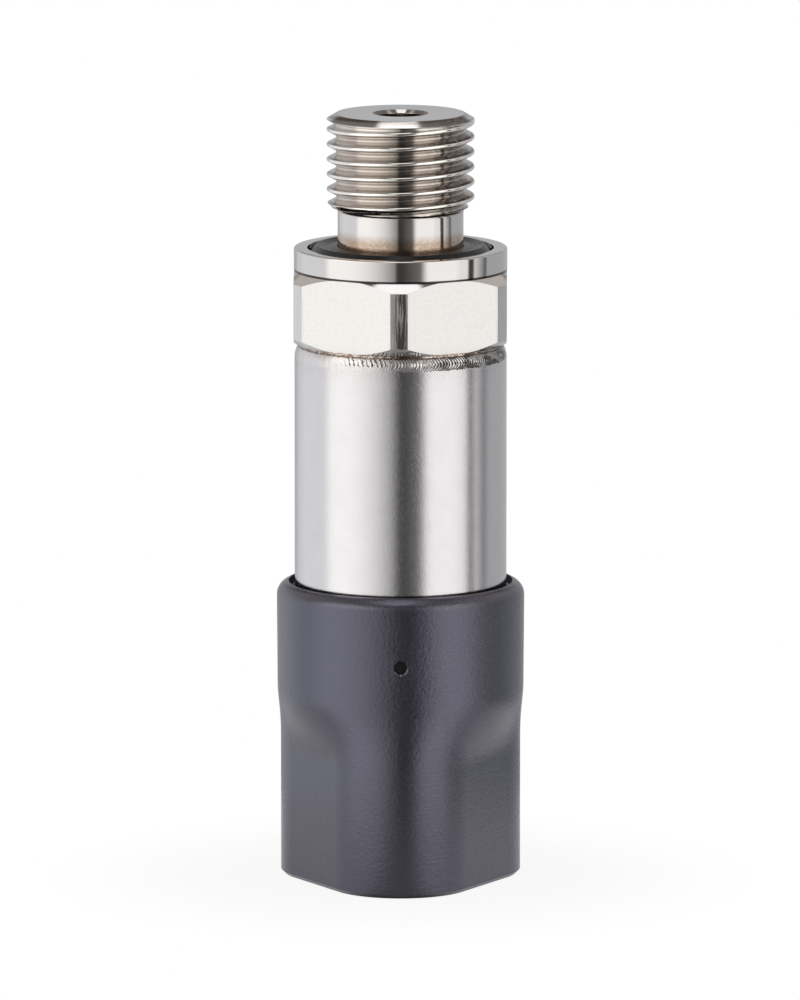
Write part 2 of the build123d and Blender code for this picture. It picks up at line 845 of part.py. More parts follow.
# Voltage regulator below the chip, with its legs towards the contacts
with BuildPart() as voltage_regulator:
    with BuildSketch(Plane.XZ.offset(-board_front)):
        with Locations((0, connector_board_top + regulator_rise)):
            Rectangle(regulator_length, regulator_width)
    extrude(amount=regulator_thickness)
    with BuildSketch(Plane.XZ.offset(-board_front)):
        with Locations((0, connector_board_top + regulator_rise - regulator_width / 2)):
            with GridLocations(regulator_leg_pitch, 0, regulator_leg_count, 1):
                Rectangle(regulator_leg_width, 2 * regulator_leg_length)
    extrude(amount=regulator_leg_thickness)
voltage_regulator.part.label = "voltage_regulator"
export_step(voltage_regulator.part, "parts/voltage_regulator.step")

# Filter capacitors in a row near the foot of the main board
for number in range(1, filter_capacitor_count + 1):
    column = (number - (filter_capacitor_count + 1) / 2) * filter_capacitor_pitch
    seat = Plane(
        origin=(column, board_front, connector_board_top + filter_capacitor_rise), z_dir=(0, -1, 0)
    )
    with BuildPart() as filter_capacitor:
        add(chip_capacitor(seat))
    filter_capacitor.part.label = f"filter_capacitor_{number}"
    export_step(filter_capacitor.part, f"parts/filter_capacitor_{number}.step")

# Interference capacitors on the connector board, beside the contacts
for number, heading in enumerate(emc_capacitor_headings, start=1):
    spot = Vector(emc_capacitor_circle / 2, 0).rotate(Axis.Z, heading)
    with BuildPart() as emc_capacitor:
        add(chip_capacitor(Plane.XY.move(Location(spot + Vector(0, 0, connector_board_top)))))
    emc_capacitor.part.label = f"emc_capacitor_{number}"
    export_step(emc_capacitor.part, f"parts/emc_capacitor_{number}.step")

# Protection diodes on the back of the main board, each with a leg at both ends
for number in range(1, diode_count + 1):
    column = (number - (diode_count + 1) / 2) * diode_pitch
    seat = Plane(
        origin=(column, -board_front, connector_board_top + diode_rise), x_dir=(0, 0, 1), z_dir=(0, 1, 0)
    )
    with BuildPart() as protection_diode:
        with BuildSketch(seat):
            Rectangle(diode_length, diode_width)
        extrude(amount=diode_thickness, taper=diode_taper)
        with BuildSketch(seat):
            with GridLocations(diode_length, 0, 2, 1):
                Rectangle(2 * diode_leg_length, diode_leg_width)
        extrude(amount=diode_leg_height)
    protection_diode.part.label = f"protection_diode_{number}"
    export_step(protection_diode.part, f"parts/protection_diode_{number}.step")
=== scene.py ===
import bpy
import bmesh
import json
from math import cos, pi, radians, sin, sqrt, tan
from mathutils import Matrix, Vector


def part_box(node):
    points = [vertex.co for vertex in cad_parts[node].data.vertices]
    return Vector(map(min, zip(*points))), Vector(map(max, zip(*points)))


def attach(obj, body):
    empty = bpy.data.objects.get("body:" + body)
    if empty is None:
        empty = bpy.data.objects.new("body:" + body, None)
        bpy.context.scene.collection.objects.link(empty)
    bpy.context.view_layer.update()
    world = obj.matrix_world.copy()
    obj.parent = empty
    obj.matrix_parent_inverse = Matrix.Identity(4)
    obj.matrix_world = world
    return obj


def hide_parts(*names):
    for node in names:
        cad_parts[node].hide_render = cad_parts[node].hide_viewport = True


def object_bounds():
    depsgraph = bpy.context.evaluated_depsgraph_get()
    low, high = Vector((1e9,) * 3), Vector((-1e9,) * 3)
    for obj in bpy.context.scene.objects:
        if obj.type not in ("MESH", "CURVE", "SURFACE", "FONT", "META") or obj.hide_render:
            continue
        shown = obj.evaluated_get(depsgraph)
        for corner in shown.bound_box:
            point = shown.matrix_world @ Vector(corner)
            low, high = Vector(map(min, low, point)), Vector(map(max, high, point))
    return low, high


# Pressure transmitter in metres, thread up, on the open end of its housing. The front is towards -Y.
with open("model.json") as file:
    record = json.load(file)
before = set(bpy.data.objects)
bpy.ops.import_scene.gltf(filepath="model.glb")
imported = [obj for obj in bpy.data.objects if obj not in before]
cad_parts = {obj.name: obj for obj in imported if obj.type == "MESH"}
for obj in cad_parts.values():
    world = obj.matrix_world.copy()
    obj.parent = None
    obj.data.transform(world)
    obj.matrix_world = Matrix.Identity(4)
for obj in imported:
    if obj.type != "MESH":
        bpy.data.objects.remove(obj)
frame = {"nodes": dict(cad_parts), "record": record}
cad_low, cad_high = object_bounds()
mm = 0.001
nodes = frame["nodes"]
mounts = {mount["name"]: mount for mount in frame["record"]["mounts"]}

# Sizes in millimetres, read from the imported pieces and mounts
fitting_low, fitting_high = (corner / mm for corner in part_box("process_connection"))
seam_low, seam_high = (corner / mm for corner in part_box("weld_seam"))
thread_top = fitting_high.z
thread_radius = mounts["process_thread"]["dims"]["r_mm"]
collar_top = mounts["collar_face"]["pos_m"][2] / mm
collar_radius = fitting_high.x
corner_radius = fitting_high.y
tube_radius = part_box("case_tube")[1].x / mm
seam_foot, seam_head = seam_low.z, seam_high.z
spigot_end = fitting_low.z
seal_low, seal_high = (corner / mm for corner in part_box("profile_seal"))
seal_floor, seal_top = seal_low.z, seal_high.z
seal_radius = seal_high.x

# Thread, chamfer, run-out and neck. Lengths in millimetres, the flank in radians, the rest in turns
thread_pitch = 1.337
thread_depth = 0.640327 * thread_pitch
thread_rounding = 0.137329 * thread_pitch
thread_flank = radians(27.5)
right_crest_height = 61.46
front_to_right = 0.25
thread_chamfer_width = 0.85
thread_chamfer_height = 0.5
thread_start_height = 0.45
chamfer_foot = thread_top - thread_chamfer_height
runout_radius = thread_radius - 0.5
neck_radius = thread_radius - 0.98
neck_foot = collar_top + 0.2
runout_foot = collar_top + 3.12
runout_head = collar_top + 4.1

# Port and bore, in millimetres
port_radius = 2.2
port_bevel = 0.3
port_floor = thread_top - 6
bore_radius = 1.25

# Collar with its seal, the hexagon, and the rounding of most edges, in millimetres
edge_break = 0.1
collar_edge = 0.16
seal_groove_radius = 8.3
seal_lip_radius = 7.5
seal_shoulder_drop = 0.75
seal_valley_drop = 0.22
seal_inner_drop = 0.05
seal_neck_gap = 0.02
hexagon_apothem = 9.45
hexagon_head = collar_top - 1.95
hexagon_foot = hexagon_head - 6.55
hexagon_bevel = 0.8
hexagon_turn = radians(-0.75)
cutter_radius = 16

# Weld and its ripples, which are strongest where the weld ends. Lengths in millimetres, angles in radians
weld_groove_radius = 9.1
root_radius = 8.95
seam_middle = (seam_foot + seam_head) / 2
seam_bulge = 0.07
seam_stand = 0.004
seam_wander = 0.05
ripple_depth = 0.05
ripple_count = 210
ripple_bow = 6.4
stroke_count = 135
weld_end = radians(30)
weld_end_reach = 1.2
ripple_fade = 1.3

# Spigot inside the case, in millimetres
spigot_radius = 8.8
recess_radius = 7.3
recess_floor = spigot_end + 2.2
stub_end = recess_floor - 1.4
stub_radius = 4.6

# Fineness of the meshes, which are drawn in millimetres
turn_segments = 288
arc_steps = 5
thread_rows_per_turn = 24
seam_rows = 12
columns_per_ripple = 5
merge_distance = 0.00002
sharp_angle = radians(28)
least_flat_area = 20

# Camera and table. Places in metres, the camera's dip in radians and its lens in millimetres
camera_place = (-0.00005, -1.2442, 0.2334)
camera_dip = 0.15884
camera_lens = 508.5
table_radius = 0.045
table_sides = 96
table_gap = 0.00001

# Levels of light, and the share of glow in the table
left_box_level = 1.25
right_box_level = 1.05
top_box_level = 1.35
gap_level = 0.055
glow_level = 0.12
left_wall_level = 0.85
slit_level = 0.78
right_wall_level = 0.43
back_level = 0.46
ceiling_level = 0.13
aside_level = 0.4
table_glow = 0.42

# Colours of the room
white = (1, 1, 1, 1)
front_tone = (1.0, 0.985, 0.97, 1)
side_tone = (0.98, 0.98, 1.005, 1)
ceiling_tone = (1.0, 0.93, 0.88, 1)
table_colour = (0.86, 0.86, 0.86, 1)
table_shade = (0.15, 0.15, 0.15, 1)

# Colours of the steel and the weld
steel_level = 0.7
sensor_level = 0.6
flat_dark = (0.67, 0.655, 0.64, 1)
flat_light = (0.705, 0.695, 0.685, 1)
case_dark = (0.66, 0.65, 0.665, 1)
case_light = (0.72, 0.71, 0.725, 1)
thread_steel = (0.78, 0.745, 0.71, 1)
# The next four colours are painted light: a highlight on the worn crests, shade in the thread's valleys,
# brown shade on the flanks and in the port that also colours brown patches on the thread, and a shadow line
# under the collar
crest_highlight_steel = (0.9, 0.88, 0.85, 1)
valley_shade_steel = (0.5, 0.445, 0.4, 1)
shade_and_patch_brown = (0.12, 0.1, 0.085, 1)
shadow_line_black = (0.05, 0.047, 0.045, 1)
straw = (0.43, 0.31, 0.215, 1)
straw_brown = (0.24, 0.14, 0.08, 1)
weld_brown = (0.075, 0.05, 0.036, 1)
# The darkest weld colour paints shade on the ripples, and the dark strokes and blots.
weld_dark = (0.03, 0.028, 0.028, 1)
weld_grey = (0.62, 0.62, 0.62, 1)
weld_light = (0.8, 0.79, 0.79, 1)

# Colours of rubber, plastic and felt
rubber_dark = (0.006, 0.006, 0.008, 1)
rubber_light = (0.016, 0.016, 0.02, 1)
housing_dark = (0.009, 0.0095, 0.012, 1)
housing_light = (0.015, 0.0155, 0.02, 1)
# The fleck colour is partly a painted sparkle of the highlight.
housing_fleck_sparkle = (0.1, 0.1, 0.12, 1)
housing_sheen = (0.77, 0.775, 1.0, 1)
carrier_dark = (0.02, 0.02, 0.023, 1)
carrier_light = (0.035, 0.035, 0.04, 1)
sleeve_dark = (0.66, 0.63, 0.56, 1)
sleeve_light = (0.78, 0.76, 0.7, 1)
felt_dark = (0.006, 0.006, 0.008, 1)
felt_light = (0.03, 0.03, 0.034, 1)

# Colours of the contacts and the electronics
contact_dark = (0.66, 0.55, 0.34, 1)
contact_light = (0.84, 0.76, 0.56, 1)
bond_dark = (0.66, 0.66, 0.68, 1)
bond_light = (0.8, 0.8, 0.81, 1)
bronze_dark = (0.5, 0.3, 0.14, 1)
bronze_light = (0.68, 0.46, 0.26, 1)
board_dark = (0.008, 0.07, 0.03, 1)
board_light = (0.015, 0.11, 0.045, 1)
board_track = (0.05, 0.22, 0.07, 1)
chip_dark = (0.012, 0.012, 0.013, 1)
chip_light = (0.024, 0.024, 0.026, 1)
ceramic_dark = (0.32, 0.2, 0.11, 1)
ceramic_light = (0.5, 0.36, 0.22, 1)
flex_dark = (0.42, 0.2, 0.03, 1)
flex_light = (0.6, 0.3, 0.06, 1)
gauge_dark = (0.2, 0.12, 0.05, 1)
gauge_light = (0.42, 0.3, 0.16, 1)
potting_dark = (0.02, 0.02, 0.022, 1)
potting_light = (0.05, 0.05, 0.056, 1)


# Shader sockets as values

class Wire:
    """A shader socket in one node tree, on which sums are written as plain expressions."""

    def __init__(self, bench, socket):
        self.bench = bench
        self.socket = socket

    def math(self, operation, *others):
        """Result of a Math node on this socket and the others."""
        return self.bench.node("ShaderNodeMath", {"operation": operation}, dict(enumerate((self, *others))))

    def __add__(self, other):
        return self.math("ADD", other)

    def __sub__(self, other):
        return self.math("SUBTRACT", other)

    def __mul__(self, other):
        return self.math("MULTIPLY", other)

    def __truediv__(self, other):
        return self.math("DIVIDE", other)

    def __rsub__(self, other):
        return self.bench.node("ShaderNodeMath", {"operation": "SUBTRACT"}, {0: other, 1: self})

    def __rtruediv__(self, other):
        return self.bench.node("ShaderNodeMath", {"operation": "DIVIDE"}, {0: other, 1: self})

    __radd__ = __add__
    __rmul__ = __mul__

    def step(self, start, end):
        """Smooth share from 0 at start to 1 at end."""
        settings = {"interpolation_type": "SMOOTHSTEP"}
        return self.bench.node("ShaderNodeMapRange", settings, {0: self, 1: start, 2: end, 3: 0.0, 4: 1.0})

    def ramp(self, start, end):
        """Even share from 0 at start to 1 at end."""
        return self.bench.node("ShaderNodeMapRange", {}, {0: self, 1: start, 2: end, 3: 0.0, 4: 1.0})

    def band(self, start, end, soft):
        """1 between start and end, with soft edges."""
        return self.step(start - soft, start + soft) * (1 - self.step(end - soft, end + soft))


class Bench:
    """Node tree of one finish, and the one method that puts nodes in it."""

    def __init__(self, tree):
        self.tree = tree
        tree.nodes.clear()

    def node(self, kind, settings, sockets, output=0):
        """Output of a new node, whose settings are made before its sockets are filled or linked."""
        made = self.tree.nodes.new(kind)
        for name, value in settings.items():
            setattr(made, name, value)
        for name, value in sockets.items():
            if isinstance(value, Wire):
                self.tree.links.new(value.socket, made.inputs[name])
            else:
                made.inputs[name].default_value = value
        return Wire(self, made.outputs[output] if made.outputs else None)

    def place(self):
        """Point on the object, in millimetres."""
        point = self.node("ShaderNodeTexCoord", {}, {}, "Object")
        return self.node("ShaderNodeVectorMath", {"operation": "SCALE"}, {0: point, "Scale": 1 / mm})

    def axes(self, point):
        """The three coordinates of a point."""
        return [self.node("ShaderNodeSeparateXYZ", {}, {0: point}, axis) for axis in "XYZ"]

    def joined(self, x, y, z):
        return self.node("ShaderNodeCombineXYZ", {}, {0: x, 1: y, 2: z})

    def heading(self, x, y):
        """Angle in radians from the front, growing to the right."""
        return self.node("ShaderNodeMath", {"operation": "ARCTAN2"}, {0: x, 1: 0 - y})

    def round_place(self):
        """Turns round the axis, distance from the axis and height, the last two in millimetres."""
        x, y, z = self.axes(self.place())
        turn = self.heading(x, y) / (2 * pi)
        distance = (x * x + y * y).math("SQRT")
        return turn, distance, z

    def noise(self, point, scale, detail, roughness=0.5, distortion=0.0):
        sockets = {
            "Vector": point, "Scale": scale, "Detail": detail, "Roughness": roughness,
            "Distortion": distortion,
        }
        return self.node("ShaderNodeTexNoise", {}, sockets)

    def cells(self, point, scale, feature="F1"):
        return self.node("ShaderNodeTexVoronoi", {"feature": feature}, {"Vector": point, "Scale": scale})

    def tint(self, share, low, high):
        """Colour between two colours."""
        return self.node("ShaderNodeMix", {"data_type": "RGBA"}, {"Factor": share, 6: low, 7: high}, 2)

    def relief(self, height, depth):
        """Surface normal of a relief that is depth millimetres deep."""
        return self.node("ShaderNodeBump", {}, {"Height": height, "Distance": depth * mm, "Strength": 1.0})

    def blend(self, share, first, second):
        """Shader between two shaders."""
        return self.node("ShaderNodeMixShader", {}, {0: share, 1: first, 2: second})

    def seen_by_camera(self):
        return self.node("ShaderNodeLightPath", {}, {}, "Is Camera Ray")


def warm_grey(level, warmth):
    """Colour of a grey that leans a little towards red."""
    return (level * (1 + warmth), level, level * (1 - warmth), 1)


def finish(name, recipe):
    """Material whose shader takes the sockets that the recipe returns."""
    material = bpy.data.materials.new(name)
    material.use_nodes = True
    bench = Bench(material.node_tree)
    shader = bench.node("ShaderNodeBsdfPrincipled", {}, recipe(bench))
    bench.node("ShaderNodeOutputMaterial", {}, {0: shader})
    return material


# Finishes of the fitting and the case

def steel_colour(bench, level, cloud):
    """Stainless steel, lighter and darker in faint clouds."""
    patches = bench.noise(bench.place(), cloud, 3.0)
    return bench.tint(patches, warm_grey(level * 0.93, 0.02), warm_grey(level, 0.012))


def turning_marks(bench, marks_per_mm):
    """Rings left by the lathe, the same all the way round apart from a slow wander."""
    _, distance, height = bench.round_place()
    wander = bench.noise(bench.place(), 0.4, 1.0) * 0.25
    rings = bench.joined(distance * marks_per_mm, height * marks_per_mm, wander)
    return bench.noise(rings, 1.0, 3.0, 0.6)


def thread_colour(bench, on_thread, clean, specks, streaks):
    """Thread on clean steel: painted shade in the valleys and beside the crests, a painted highlight on worn
    crests, brown patches on the right.
    """
    turn, distance, height = bench.round_place()
    phase = ((height - right_crest_height) / thread_pitch - turn + front_to_right).math("FRACT")
    # Painted shade: the steel darkens deep in the thread's valleys.
    valley = distance.step(thread_radius - 0.2, thread_radius - 0.75) * (0.4 + specks * 0.5)
    # Lighter steel on the crests: worn steel with a painted highlight.
    crest = distance.step(thread_radius - 0.1, thread_radius - 0.03)
    # Painted shade on the flanks just below and just above each crest, and on the lower flanks at the front
    # right, with brown patches on the right half.
    below_crest = phase.band(0.78, 0.94, 0.04)
    above_crest = phase.band(0.08, 0.22, 0.05)
    shade_beside_crest = (below_crest * 0.7 + above_crest * 0.5) * (0.5 + specks)
    lower_flank_shade = phase.band(0.6, 0.97, 0.08) * turn.band(0.01, 0.12, 0.03) * streaks.step(0.3, 0.6)
    right_brown_patches = (streaks * 0.5 + specks * 0.5).step(0.4, 0.55) * turn.band(0.09, 0.3, 0.05)
    flank_shade_and_patches = shade_beside_crest + right_brown_patches * 0.5 + lower_flank_shade * 0.35
    valley_shaded = bench.tint(on_thread * valley, clean, valley_shade_steel)
    browned = bench.tint(on_thread * flank_shade_and_patches, valley_shaded, shade_and_patch_brown)
    return bench.tint(on_thread * crest, browned, crest_highlight_steel)


def port_shade(bench):
    """How much painted brown shade the port gets: little at the back, and nearly full elsewhere."""
    turn, distance, height = bench.round_place()
    rim = port_radius + port_bevel
    in_port = (1 - distance.step(rim - 0.03, rim + 0.03)) * height.step(port_floor, port_floor + 0.5)
    at_back = (turn * turn).step(0.16, 0.19)
    return in_port * (1 - at_back * 0.9) * 0.85


def hexagon_places(bench):
    """Where the turned corners are, and where the milled flats are."""
    _, distance, height = bench.round_place()
    outside = distance.step(corner_radius - 0.14, corner_radius - 0.05)
    on_corner = outside * height.band(hexagon_foot, hexagon_head, 0.3)
    on_flat = (1 - outside) * height.band(hexagon_foot, hexagon_head, 0.05)
    return on_corner, on_flat


def heat_marks(bench, on_thread, specks, streaks, mottle):
    """Straw stain and brown burn, at the foot of the neck and above the weld."""
    _, distance, height = bench.round_place()
    above_groove = height.step(collar_top - 1, collar_top)
    on_neck = distance.step(neck_radius + 0.7, neck_radius + 0.3) * above_groove * (1 - on_thread)
    near_collar = 1 - height.step(neck_foot + 0.6, neck_foot + 1.7)
    at_foot = 1 - height.step(neck_foot + 0.1, neck_foot + 0.45)
    near_weld = 1 - height.step(hexagon_foot, hexagon_foot + 1.0)
    at_weld = 1 - height.step(hexagon_foot + 0.05, hexagon_foot + 0.18)
    cloudy = 0.45 + (mottle * 0.75 + streaks * 0.25).step(0.36, 0.56) * 0.5
    stain = on_neck * near_collar * cloudy + near_weld * specks.step(0.4, 0.7) * 0.25
    burn = on_neck * at_foot * streaks.step(0.3, 0.6) + at_weld * mottle.step(0.4, 0.56)
    return stain, burn


def fitting_recipe(bench):
    turn, distance, height = bench.round_place()
    x, y, z = bench.axes(bench.place())
    marks = turning_marks(bench, 9)
    specks = bench.noise(bench.place(), 3.2, 4.0, 0.7)
    streaks = bench.noise(bench.joined(turn * 40, 0, height * 9), 1.0, 4.0, 0.65)
    mottle = bench.noise(bench.place(), 3.6, 4.0, 0.75)
    brushed = bench.noise(bench.joined(x * 5, y * 5, z * 0.3), 1.0, 4.0, 0.6).step(0.42, 0.62)
    chatter = bench.noise(bench.joined(turn * 110, distance * 3, height * 4), 1.0, 3.0, 0.7)

    above_neck = height.step(runout_foot - 0.3, runout_foot + 0.2)
    on_thread = above_neck * distance.step(thread_radius - 1.0, thread_radius - 0.9)
    on_corner, on_flat = hexagon_places(bench)
    # Painted shadow: a dark line where the collar's foot meets the top of the hexagon's flats.
    under_collar = height.band(hexagon_head - 0.05, hexagon_head + 0.14, 0.03)
    collar_shadow_line = under_collar * distance.step(hexagon_apothem - 0.1, collar_radius - 0.02)
    stain, burn = heat_marks(bench, on_thread, specks, streaks, mottle)

    milled = bench.tint((mottle * 0.5 + specks * 0.5).step(0.35, 0.6), flat_dark, flat_light)
    machined = bench.tint(on_flat, steel_colour(bench, steel_level, 0.5), milled)
    clean = bench.tint(on_thread, machined, thread_steel)
    threaded = thread_colour(bench, on_thread, clean, specks, streaks)
    # Painted brown shade inside the port.
    port_shaded = bench.tint(port_shade(bench), threaded, shade_and_patch_brown)
    collar_shadowed = bench.tint(collar_shadow_line, port_shaded, shadow_line_black)
    stained = bench.tint(stain, collar_shadowed, straw)
    return {
        "Base Color": bench.tint(burn, stained, straw_brown),
        "Metallic": 1.0,
        "Roughness": 0.055 + specks * 0.05 + burn * 0.12 + on_corner * brushed * 0.3 + on_thread * 0.03,
        "Normal": bench.relief(marks * 0.5 + streaks * 0.4 + chatter * on_thread * 1.2, 0.0035),
    }


def case_recipe(bench):
    turn, _, height = bench.round_place()
    grinding = bench.noise(bench.joined(turn * 70, 0, height * 24), 1.0, 4.0, 0.65)
    orange_peel = bench.noise(bench.place(), 2.4, 3.0, 0.6)
    marks = bench.noise(bench.place(), 5.5, 4.0, 0.7)
    dust = bench.noise(bench.place(), 7.0, 2.0, 0.6).step(0.52, 0.64)
    burn = height.step(seam_foot - 1.6, seam_foot) * marks.step(0.4, 0.6)
    clean = bench.tint(bench.noise(bench.place(), 0.6, 3.0), case_dark, case_light)
    return {
        "Base Color": bench.tint(burn * 0.12, clean, straw_brown),
        "Metallic": 1.0,
        "Roughness": 0.1 + orange_peel * 0.05 + dust * 0.12,
        "Normal": bench.relief(grinding * 0.5 + orange_peel * 0.5 + marks * 1.4, 0.006),
    }


def seam_recipe(bench):
    turn, _, height = bench.round_place()
    grains = bench.noise(bench.place(), 4.0, 4.0, 0.7)
    blots = bench.noise(bench.joined(turn * 40, 0, height * 1.6), 1.0, 3.0, 0.6)
    across = height.ramp(seam_foot, seam_head)
    bow = (across - 0.5) * (across - 0.5) * ripple_bow
    # The dark ripple lines follow the ripples' ridges: painted shade, strongest at the right end of the weld.
    lines = (turn * ripple_count + bow + grains * 0.8).math("FRACT").band(0.3, 0.75, 0.15)
    strokes = (turn * stroke_count + across * 1.2 + grains * 1.5).math("FRACT").band(0.3, 0.62, 0.08)
    right_end = turn.band(0.06, 0.22, 0.03)
    middle = turn.band(-0.02, 0.08, 0.02)
    left_run = turn.band(-0.09, -0.015, 0.01) * across.band(0.3, 0.9, 0.1) * blots.step(0.36, 0.44)
    # Dark blots at the right end of the weld, added to the dark lines.
    dark_blots = right_end * blots.step(0.46, 0.58) * 0.7
    dark = lines * (right_end + middle * 0.6 + 0.05) + strokes * left_run + dark_blots
    edge = height.step(seam_head - 0.2, seam_head - 0.06) * grains.step(0.38, 0.54)
    clean = bench.tint(dark, bench.tint(grains, weld_grey, weld_light), weld_dark)
    return {
        "Base Color": bench.tint(edge * 0.9, clean, weld_brown),
        "Metallic": 1.0,
        "Roughness": 0.2 + grains * 0.16,
        "Normal": bench.relief(grains + lines * (right_end + 0.3), 0.012),
    }


def sensor_steel_recipe(bench):
    marks = turning_marks(bench, 7)
    return {
        "Base Color": steel_colour(bench, sensor_level, 0.7),
        "Metallic": 1.0,
        "Roughness": 0.24 + marks * 0.1,
        "Normal": bench.relief(marks, 0.004),
    }


# Finishes of the rubber, plastic and felt pieces

def rubber_recipe(bench):
    bloom = bench.noise(bench.place(), 1.6, 4.0, 0.6)
    grain = bench.noise(bench.place(), 14.0, 3.0, 0.6)
    return {
        "Base Color": bench.tint(bloom.step(0.35, 0.75), rubber_dark, rubber_light),
        "Roughness": 0.2 + bloom * 0.14,
        "Specular IOR Level": 0.3,
        "Normal": bench.relief(grain, 0.004),
    }


def housing_recipe(bench):
    turn, _, height = bench.round_place()
    grain = bench.noise(bench.place(), 2.8, 5.0, 0.8)
    pits = bench.cells(bench.place(), 3.4)
    cloud = bench.noise(bench.place(), 0.35, 3.0, 0.6)
    # Light flecks, faint all over and dense on the right among the drag marks: partly grain of the plastic,
    # partly painted sparkle of the highlight there.
    flecks_and_sparkle = bench.noise(bench.place(), 5.2, 3.0, 0.7).step(0.5, 0.66)
    drag = bench.noise(bench.joined(turn * 30, 0, height * 4), 1.0, 4.0, 0.75)
    scuffs = drag * turn.step(0.0, 0.05)
    base = bench.tint(cloud, housing_dark, housing_light)
    return {
        "Base Color": bench.tint(flecks_and_sparkle * (0.04 + scuffs * 0.75), base, housing_fleck_sparkle),
        "Roughness": 0.06 + grain * 0.08 + scuffs * 0.04,
        "IOR": 1.7,
        "Specular IOR Level": 1.0,
        "Specular Tint": housing_sheen,
        "Normal": bench.relief(grain + pits * 0.4 + scuffs * 0.9, 0.027),
    }


def moulded_recipe(dark, light, roughness):
    """Plain moulded plastic between two colours."""
    def recipe(bench):
        cloud = bench.noise(bench.place(), 0.8, 4.0, 0.6)
        grain = bench.noise(bench.place(), 7.0, 4.0, 0.7)
        return {
            "Base Color": bench.tint(cloud, dark, light),
            "Roughness": roughness + grain * 0.12,
            "Normal": bench.relief(grain, 0.01),
        }
    return recipe


def felt_recipe(bench):
    fibres = bench.noise(bench.place(), 22.0, 5.0, 0.8, 1.5)
    return {
        "Base Color": bench.tint(fibres, felt_dark, felt_light),
        "Roughness": 0.9,
        "Normal": bench.relief(fibres, 0.03),
    }


# Finishes of the contacts and the electronics

def plated_recipe(dark, light, roughness=0.2):
    """Plated or drawn metal with lengthwise drawing lines."""
    def recipe(bench):
        turn, distance, height = bench.round_place()
        lines = bench.noise(bench.joined(turn * 300, distance * 3, height * 0.5), 1.0, 3.0, 0.6)
        stain = bench.noise(bench.place(), 1.5, 4.0, 0.65)
        return {
            "Base Color": bench.tint(stain, dark, light),
            "Metallic": 1.0,
            "Roughness": roughness + stain * 0.14,
            "Normal": bench.relief(lines, 0.003),
        }
    return recipe


def board_recipe(bench):
    x, y, z = bench.axes(bench.place())
    tracks = bench.cells(bench.joined(x * 0.9 + y * 0.6, y * 0.9, z * 0.9), 1.0, "DISTANCE_TO_EDGE")
    copper = 1 - tracks.step(0.04, 0.09)
    weave = (x * 9).math("SINE") * (z * 9).math("SINE") * (y * 9).math("COSINE")
    mask = bench.tint(weave.step(-1, 1), board_dark, board_light)
    return {
        "Base Color": bench.tint(copper * 0.7, mask, board_track),
        "Roughness": 0.26 + weave * 0.03,
        "Coat Weight": 0.4,
        "Normal": bench.relief(copper + weave * 0.15, 0.02),
    }


def ceramic_recipe(bench):
    grains = bench.noise(bench.place(), 9.0, 5.0, 0.7)
    return {
        "Base Color": bench.tint(grains, ceramic_dark, ceramic_light),
        "Roughness": 0.45 + grains * 0.2,
        "Normal": bench.relief(grains, 0.008),
    }


def film_recipe(dark, light):
    """Lacquered film over a fine meander."""
    def recipe(bench):
        x, y, _ = bench.axes(bench.place())
        meander = (x * 8 + (y * 2).math("SINE")).math("SINE").step(-0.2, 0.2)
        return {
            "Base Color": bench.tint(meander, dark, light),
            "Roughness": 0.25 + meander * 0.1,
            "Coat Weight": 0.5,
            "Normal": bench.relief(meander, 0.006),
        }
    return recipe


def potting_recipe(bench):
    flow = bench.noise(bench.place(), 0.9, 3.0, 0.5, 0.8)
    bubbles = bench.cells(bench.place(), 1.6).step(0.1, 0.02)
    return {
        "Base Color": bench.tint(flow, potting_dark, potting_light),
        "Roughness": 0.16 + flow * 0.12,
        "Normal": bench.relief(flow + bubbles * 0.4, 0.05),
    }


# Meshes of the turned pieces, drawn in millimetres

def ramp_up(value, start, end):
    """Share from 0 at start to 1 at end, held outside them."""
    return min(max((value - start) / (end - start), 0), 1)


def on_circle(radius, angle, height):
    return (radius * cos(angle), radius * sin(angle), height)


def rounded_outline(corners):
    """Outline through (radius, height, rounding) corners, each rounding drawn as an arc."""
    points = []
    for before, corner, after in zip(corners, corners[1:], corners[2:]):
        here, rounding = Vector(corner[:2]), corner[2]
        back = (Vector(before[:2]) - here).normalized()
        ahead = (Vector(after[:2]) - here).normalized()
        if rounding == 0:
            points.append(tuple(here))
            continue
        half = back.angle(ahead) / 2
        centre = here + (back + ahead).normalized() * rounding / sin(half)
        first = here + back * rounding / tan(half) - centre
        last = here + ahead * rounding / tan(half) - centre
        for step in range(arc_steps + 1):
            points.append(tuple(centre + first.slerp(last, step / arc_steps) * rounding))
    return [tuple(corners[0][:2]), *points, tuple(corners[-1][:2])]


def lathe(mesh, outline, closed=False):
    """Adds the surface that an outline of (radius, height) points sweeps round the axis."""
    angles = [2 * pi * k / turn_segments for k in range(turn_segments)]
    rings = [
        [mesh.verts.new(on_circle(radius, angle, height)) for angle in angles]
        for radius, height in outline
    ]
    pairs = list(zip(rings, rings[1:]))
    if closed:
        pairs.append((rings[-1], rings[0]))
    for lower, upper in pairs:
        for k in range(turn_segments):
            after = (k + 1) % turn_segments
            mesh.faces.new((lower[k], lower[after], upper[after], upper[k]))


def object_from(mesh, name):
    """Object from a mesh drawn in millimetres."""
    bmesh.ops.recalc_face_normals(mesh, faces=mesh.faces)
    bmesh.ops.scale(mesh, verts=mesh.verts, vec=(mm, mm, mm))
    data = bpy.data.meshes.new(name)
    mesh.to_mesh(data)
    mesh.free()
    made = bpy.data.objects.new(name, data)
    bpy.context.scene.collection.objects.link(made)
    return made


def smooth(data):
    """Smooth shading, apart from sharp edges."""
    data.shade_smooth()
    data.set_sharp_from_angle(angle=sharp_angle)


